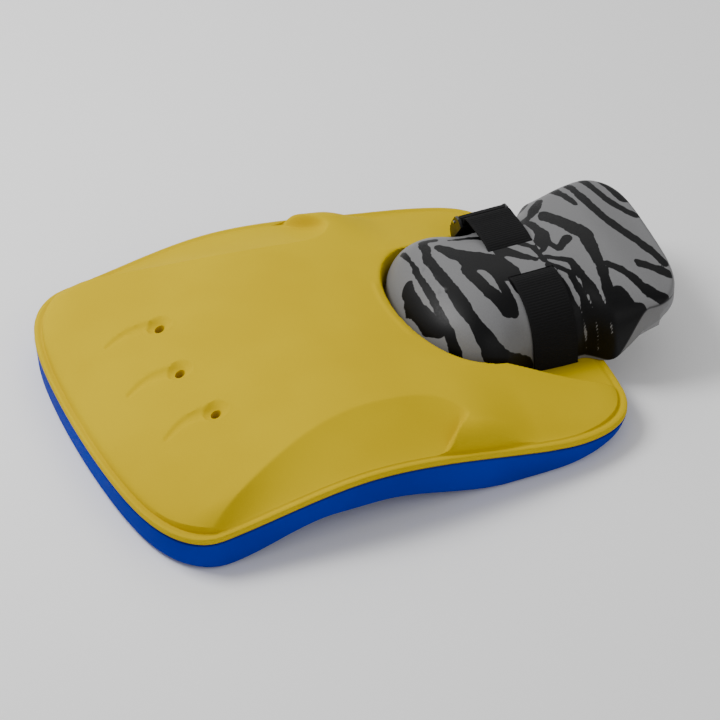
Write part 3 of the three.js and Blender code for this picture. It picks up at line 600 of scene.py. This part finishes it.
# ---- Materials ------------------------------------------------------------
class Look:
    """Builds one procedural material."""

    def __init__(self, name, color, roughness, metallic=0.0):
        self.material = bpy.data.materials.new(name)
        self.material.use_nodes = True
        self.tree = self.material.node_tree
        self.shader = self.tree.nodes["Principled BSDF"]
        self.shader.inputs["Base Color"].default_value = (*color, 1)
        self.shader.inputs["Roughness"].default_value = roughness
        self.shader.inputs["Metallic"].default_value = metallic
        self.coords = self.tree.nodes.new("ShaderNodeTexCoord").outputs["Object"]

    def node(self, kind, **values):
        node = self.tree.nodes.new(kind)
        for key, value in values.items():
            if hasattr(node, key):
                setattr(node, key, value)
            else:
                node.inputs[key.replace("_", " ")].default_value = value
        return node

    def link(self, a, b):
        self.tree.links.new(a, b)

    def math(self, operation, a, b=None, c=None):
        node = self.tree.nodes.new("ShaderNodeMath")
        node.operation = operation
        for socket, value in zip(node.inputs, (a, b, c)):
            if value is None:
                continue
            if isinstance(value, (int, float)):
                socket.default_value = value
            else:
                self.link(value, socket)
        return node.outputs[0]

    def noise(self, scale, detail=3.0, roughness=0.5, vector=None):
        node = self.node("ShaderNodeTexNoise", Scale=scale, Detail=detail, Roughness=roughness)
        self.link(vector if vector is not None else self.coords, node.inputs["Vector"])
        return node.outputs["Fac"]

    def step(self, value, low, high, a=0.0, b=1.0):
        node = self.node("ShaderNodeMapRange", interpolation_type="SMOOTHSTEP")
        self.link(value, node.inputs["Value"])
        node.inputs["From Min"].default_value = low
        node.inputs["From Max"].default_value = high
        node.inputs["To Min"].default_value = a
        node.inputs["To Max"].default_value = b
        return node.outputs["Result"]

    def bump(self, height, strength, distance):
        node = self.node("ShaderNodeBump", Strength=strength, Distance=distance)
        self.link(height, node.inputs["Height"])
        if self.shader.inputs["Normal"].links:
            self.link(self.shader.inputs["Normal"].links[0].from_socket, node.inputs["Normal"])
        self.link(node.outputs["Normal"], self.shader.inputs["Normal"])

    def color(self, socket):
        self.link(socket, self.shader.inputs["Base Color"])

    def roughness(self, socket):
        self.link(socket, self.shader.inputs["Roughness"])


def mix_colors(look, factor, a, b):
    node = look.tree.nodes.new("ShaderNodeMix")
    node.data_type = "RGBA"
    look.link(factor, node.inputs[0])
    for index, value in ((6, a), (7, b)):
        if isinstance(value, tuple):
            node.inputs[index].default_value = (*value, 1)
        else:
            look.link(value, node.inputs[index])
    return node.outputs[2]


def foam_look(name, light, dark, roughness):
    look = Look(name, light, roughness)
    broad = look.noise(9.0, 2.0)
    fine = look.noise(900.0, 3.0, 0.6)
    grain = look.node("ShaderNodeTexVoronoi", Scale=1500.0)
    look.link(look.coords, grain.inputs["Vector"])
    blend = look.math("ADD", look.math("MULTIPLY", broad, 0.7), look.math("MULTIPLY", fine, 0.3))
    tone = look.step(blend, 0.35, 0.65)
    look.color(mix_colors(look, tone, dark, light))
    look.roughness(look.step(fine, 0.3, 0.7, roughness - 0.06, roughness + 0.08))
    look.bump(grain.outputs["Distance"], 0.18, 0.0003)
    look.bump(fine, 0.12, 0.0004)
    look.shader.inputs["Specular IOR Level"].default_value = 0.02
    return look.material


# Dark bands of the marbling. Each has a half-width at its start and its end in millimetres, then the points
# it runs through: millimetres along the hood, and degrees round it from the top, towards the far side.
BANDS = [
    (6, 8, [(370, 20), (366, -15), (370, -50)]),
    (2, 4, [(390, 55), (384, 12), (382, -21), (380, -47), (381, -75)]),
    (3, 4, [(424, 47), (412, 50), (401, 28)]),
    (4, 9, [(401, 28), (402, 0), (402, -44), (408, -60), (420, -78)]),
    (3, 14, [(420, 36), (430, 20), (446, 6)]),
    (14, 14, [(440, 8), (458, -2), (462, -16)]),
    (6, 8, [(428, -2), (433, -28), (443, -48)]),
    (4, 5, [(452, -20), (452, -40), (449, -52)]),
    (9, 7, [(468, -18), (468, -36)]),
    (9, 12, [(412, -70), (430, -82), (450, -92)]),
    (2, 3, [(436, 42), (456, 40), (474, 30)]),
    (2, 3, [(440, 54), (462, 52)]),
    (8, 3, [(474, 10), (484, 2), (500, -12)]),
    (2, 3, [(478, 18), (490, 20), (508, 4), (508, -16)]),
    (2, 5, [(508, -22), (512, -40), (516, -90)]),
    (2, 4, [(510, -20), (524, -34), (526, -60), (527, -95)]),
    (3, 5, [(512, -12), (532, -24), (536, -50), (537, -92)]),
    (5, 4, [(557, -40), (549, -60), (545, -92)]),
    (9, 12, [(560, -60), (562, -72), (552, -88)]),
    (5, 8, [(545, -66), (572, -70)]),
    (3, 4, [(512, -4), (524, 4), (530, -6), (546, 4)]),
    (4, 9, [(524, 38), (526, 18), (520, 8)]),
    (4, 3, [(518, 42), (534, 47), (556, 58)]),
    (7, 8, [(544, 38), (554, 26), (566, 4)]),
    (8, 4, [(566, 4), (562, -18), (558, -40)]),
    (4, 2, [(578, 60), (582, 42)]),
    (4, 6, [(594, 60), (596, 35), (603, 9)]),
    (6, 4, [(603, 9), (617, -22), (626, -46)]),
    (4, 5, [(614, 62), (620, 44), (636, 24)]),
    (3, 5, [(632, 60), (637, 46)]),
    (3, 5, [(566, -36), (577, -46), (586, -58), (602, -66)]),
    (4, 3, [(598, -42), (622, -54)]),
    (3, 7, [(560, 92), (552, 74), (540, 66)]),
    (7, 3, [(505, 88), (512, 66), (516, 50)]),
    (5, 4, [(452, 92), (446, 72)]),
    (7, 4, [(420, 92), (414, 70)]),
    (5, 3, [(586, 92), (584, 78)]),
]
ROUND = 70.0  # millimetres round the hood for one radian


def marble_field(x, y, z):
    """Signed distance into the nearest dark band, in millimetres."""
    around = np.arctan2(y, z - 40) * ROUND
    best = np.full(x.shape, -30.0)
    for first, last, points in BANDS:
        count = len(points) - 1
        for k in range(count):
            ax, aa = points[k]
            bx, ba = points[k + 1]
            aa, ba = math.radians(aa) * ROUND, math.radians(ba) * ROUND
            dx, da = bx - ax, ba - aa
            t = np.clip(((x - ax) * dx + (around - aa) * da) / (dx * dx + da * da), 0, 1)
            width = lerp(first, last, (k + t) / count)
            best = np.maximum(best, width - np.hypot(x - ax - t * dx, around - aa - t * da))
    return best


def trim_field(x, y, z):
    """How far inside the plain, trimmed flank of the flap a point is, in millimetres."""
    around = np.degrees(np.arctan2(y, z - 40))
    line = -94 + 27 * smooth(x, 540, 584) + 4 * smooth(x, 584, 640)
    return (line - around) * 1.3


def add_fields(obj):
    mesh = obj.data
    flat = np.empty(len(mesh.vertices) * 3)
    mesh.vertices.foreach_get("co", flat)
    p = flat.reshape(-1, 3)
    x, y, z = (p[:, 0] - SHIFT) / MM, p[:, 1] / MM, p[:, 2] / MM
    for name, values in (("marble", marble_field(x, y, z)), ("trim", trim_field(x, y, z))):
        layer = mesh.attributes.new(name, "FLOAT", "POINT")
        layer.data.foreach_set("value", values)


def marbled_look(light, dark):
    look = Look("foam_marbled", light, 0.45)
    field = look.node("ShaderNodeAttribute", attribute_name="marble").outputs["Fac"]
    trim = look.node("ShaderNodeAttribute", attribute_name="trim").outputs["Fac"]
    warp_a = look.math("MULTIPLY", look.math("SUBTRACT", look.noise(38.0, 2.0), 0.5), 7.0)
    warp_b = look.math("MULTIPLY", look.math("SUBTRACT", look.noise(160.0, 2.0), 0.5), 2.5)
    edge = look.math("ADD", look.math("ADD", field, warp_a), warp_b)
    band = look.step(edge, -1.0, -0.4)
    plain = look.step(trim, -0.2, 0.2)
    band = look.math("MULTIPLY", band, look.math("SUBTRACT", 1.0, plain))
    speck = look.noise(700.0, 2.0)
    spread = look.step(speck, 0.3, 0.7)
    pale = mix_colors(look, spread, tuple(c * 0.92 for c in light), light)
    deep = mix_colors(look, spread, tuple(c * 0.75 for c in dark), dark)
    # Painted shade: the colour is darkened along the trim line's crease, standing in for the shadow under
    # the flank's free edge where it overlaps the flap.
    crease_shade = look.step(look.math("ABSOLUTE", trim), 0.3, 1.0, 1.0, 0.0)
    color = mix_colors(look, band, pale, deep)
    look.color(mix_colors(look, look.math("MULTIPLY", crease_shade, 0.6), color, tuple(c * 4 for c in dark)))
    look.roughness(look.step(speck, 0.3, 0.7, 0.38, 0.5))
    look.bump(speck, 0.08, 0.0003)
    look.bump(look.step(look.math("ABSOLUTE", trim), 0.0, 1.4), 0.5, 0.0006)
    look.shader.inputs["Specular IOR Level"].default_value = 0.16
    return look.material


def webbing_look():
    look = Look("webbing_black", (0.012, 0.012, 0.013), 0.85)
    split = look.node("ShaderNodeSeparateXYZ")
    look.link(look.coords, split.inputs[0])
    yarn = look.math("SINE", look.math("MULTIPLY", split.outputs[0], 2 * math.pi / 0.0011))
    fuzz = look.noise(2400.0, 3.0, 0.7)
    tone = look.step(look.math("ADD", look.math("MULTIPLY", yarn, 0.25), fuzz), 0.2, 0.9)
    look.color(mix_colors(look, tone, (0.002, 0.002, 0.002), (0.008, 0.008, 0.009)))
    look.bump(yarn, 0.35, 0.0002)
    look.bump(fuzz, 0.25, 0.0003)
    look.shader.inputs["Specular IOR Level"].default_value = 0.2
    return look.material


def plastic_look(name, color, roughness):
    look = Look(name, color, roughness)
    fine = look.noise(1600.0, 2.0)
    broad = look.noise(60.0, 3.0)
    look.roughness(look.step(broad, 0.3, 0.7, roughness - 0.08, roughness + 0.1))
    look.color(mix_colors(look, look.step(broad, 0.3, 0.7), tuple(c * 0.8 for c in color), color))
    look.bump(fine, 0.12, 0.0002)
    return look.material


def steel_look():
    look = Look("steel_bright", (0.6, 0.61, 0.62), 0.25, 1.0)
    streak = look.noise(220.0, 3.0)
    look.roughness(look.step(streak, 0.3, 0.7, 0.18, 0.34))
    look.color(mix_colors(look, look.step(streak, 0.3, 0.7), (0.5, 0.51, 0.52), (0.66, 0.67, 0.68)))
    look.bump(streak, 0.05, 0.0001)
    return look.material


def paint(obj, material):
    obj.data.materials.clear()
    obj.data.materials.append(material)


def paint_node(name, material):
    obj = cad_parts[name]
    for slot in obj.material_slots:
        slot.link = "OBJECT"
        slot.material = material


# ---- Pieces ------------------------------------------------------------------
YELLOW = foam_look("foam_yellow", (0.57, 0.405, 0.0), (0.53, 0.37, 0.0), 0.6)
BLUE = foam_look("foam_blue", (0.0, 0.022, 0.36), (0.0, 0.017, 0.30), 0.55)
GREY = foam_look("foam_grey", (0.24, 0.24, 0.245), (0.2, 0.2, 0.205), 0.6)
MARBLED = marbled_look((0.17, 0.17, 0.173), (0.002, 0.002, 0.0025))
WEBBING = webbing_look()
ADHESIVE = plastic_look("adhesive", (0.01, 0.012, 0.016), 0.6)
BLACK = plastic_look("buckle_plastic", (0.005, 0.005, 0.006), 0.36)
SLEEVE = plastic_look("sleeve_plastic", (0.02, 0.02, 0.021), 0.5)
STEEL = steel_look()

deck = make_deck()
paint(deck, YELLOW)
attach(deck, "board")
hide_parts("deck")

hull = make_hull()
paint(hull, BLUE)
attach(hull, "board")
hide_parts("hull")

strap_line = spline(long_strap_points(), 0.3)
shell = make_hood("hood_foam", 0.0, SHELL_THICKNESS, 210, 170, True)
cut(shell, [band_solid("cutter", strap_line[::6], STRAP_THICKNESS + 1.0, STRAP_WIDTH + 1.0)])
add_fields(shell)
paint(shell, MARBLED)
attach(shell, "hood")
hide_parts("hood_shell")

liner = make_hood("hood_liner_foam", SHELL_THICKNESS + GAP, LINER_THICKNESS, 90, 80, False)
paint(liner, GREY)
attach(liner, "hood")
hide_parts("hood_liner")

floor_z = float(well_floor(STRAP_X))
long_strap = webbing("strap_webbing_long", strap_line)
paint(long_strap, WEBBING)
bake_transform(long_strap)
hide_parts("strap_long")

bar_y, bar_z = buckle_to_world(17, -5.5)
turn = STRAP_THICKNESS / 2 + 2.1
loop_angles = np.linspace(math.radians(-60), math.radians(250), 12)
loop = [[bar_y + turn * math.cos(a), bar_z + turn * math.sin(a)] for a in loop_angles]
short_points = [
    [SLOT_Y - 1.0, bar_z - 12],
    *loop,
    [SLOT_Y + 2.2, bar_z - 12],
    [SLOT_Y + 1.6, bar_z - 20],
    [SLOT_Y + 0.6, floor_z + 12],
    [SLOT_Y, floor_z + 4],
    [SLOT_Y, floor_z + 0.2],
]
short_strap = webbing("strap_webbing_short", spline(short_points, 0.3))
paint(short_strap, WEBBING)
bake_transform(short_strap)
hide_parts("strap_short")

channel_strap = webbing("strap_webbing_channel", spline(channel_points(), 0.5))
paint(channel_strap, WEBBING)
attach(channel_strap, "board")
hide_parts("strap_tunnel_run")

paint_node("bond_film", ADHESIVE)
paint_node("strap_guide", SLEEVE)
paint_node("buckle_frame", BLACK)
paint_node("buckle_cam", BLACK)
paint_node("buckle_pin", STEEL)
paint_node("buckle_spring", STEEL)
for name, width in (("buckle_frame", 0.0004), ("buckle_cam", 0.0004), ("buckle_pin", 0.0003)):
    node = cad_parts[name]
    bevel = node.modifiers.new("edges", "BEVEL")
    bevel.width = width
    bevel.segments = 2
    bevel.limit_method = "ANGLE"
    bevel.angle_limit = math.radians(40)

# ---- Stage --------------------------------------------------------------------
bpy.ops.mesh.primitive_plane_add(size=12, location=(0, 0, 0))
floor = bpy.context.object
floor.name = "floor"
pale = bpy.data.materials.new("floor_pale")
pale.use_nodes = True
pale.node_tree.nodes["Principled BSDF"].inputs["Base Color"].default_value = (0.9, 0.9, 0.9, 1)
pale.node_tree.nodes["Principled BSDF"].inputs["Roughness"].default_value = 0.7
floor.data.materials.append(pale)

world = bpy.data.worlds.new("studio")
world.use_nodes = True
world.node_tree.nodes["Background"].inputs["Color"].default_value = (1, 1, 1, 1)
world.node_tree.nodes["Background"].inputs["Strength"].default_value = 0.5
bpy.context.scene.world = world


def area_light(name, place, aim, size, power):
    data = bpy.data.lights.new(name, "AREA")
    data.shape = "SQUARE"
    data.size = size
    data.energy = power
    light = bpy.data.objects.new(name, data)
    bpy.context.collection.objects.link(light)
    light.location = place
    light.rotation_euler = (Vector(aim) - Vector(place)).to_track_quat("-Z", "Y").to_euler()


area_light("key", (-0.9, 0.7, 1.6), (0, 0, 0.05), 0.9, 34)
area_light("fill", (0.6, -1.9, 1.3), (0, 0, 0.05), 1.6, 9)
area_light("back", (0.6, 1.7, 1.4), (0, 0, 0.05), 1.4, 8)

camera_data = bpy.data.cameras.new("camera")
camera_data.lens = 200
camera_data.sensor_width = 36
camera_data.clip_end = 50
camera = bpy.data.objects.new("camera", camera_data)
bpy.context.collection.objects.link(camera)
azimuth, elevation = math.radians(24), math.radians(38.3)
level = math.cos(elevation)
forward = Vector((level * math.sin(azimuth), level * math.cos(azimuth), -math.sin(elevation)))
target = Vector((SHIFT + 0.280, -0.068, 0.086))
camera.location = target - forward * 4.0
camera.rotation_euler = forward.to_track_quat("-Z", "Y").to_euler()
bpy.context.scene.camera = camera
